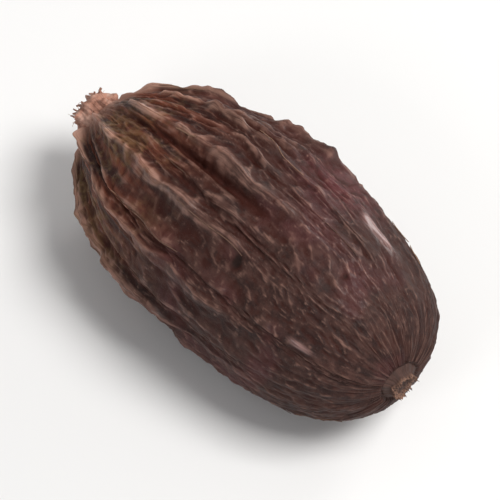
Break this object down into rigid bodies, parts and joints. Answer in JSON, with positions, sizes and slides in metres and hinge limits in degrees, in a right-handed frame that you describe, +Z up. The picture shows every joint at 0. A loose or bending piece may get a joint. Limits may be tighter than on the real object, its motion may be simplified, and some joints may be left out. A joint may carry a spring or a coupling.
{
  "type": "black cardamom pod",
  "caption": "Dried black cardamom pod lying on its side: a plump oval husk with wavy lengthwise ribs, a short withered flower at the apex and a torn stalk stub at the other end.",
  "frame": {"origin": "the middle of the pod's box, on the surface that it lies on", "axes": "+X along the pod from its apex and flower to its stalk, +Z up as it lies on its flat spot, +Y across it"},
  "size_m": [0.0346, 0.018, 0.0158],
  "materials": {
    "husk_skin": "dark reddish-brown dried skin, low sheen, with paler rib crests",
    "dry_flower": "tan-brown withered fibres, dull",
    "dry_stalk": "tan torn stalk fibre, dull"
  },
  "bodies": {
    "root": {"husk": "husk_skin", "calyx_tuft": "dry_flower", "stalk_stub": "dry_stalk"}
  },
  "joints": []
}
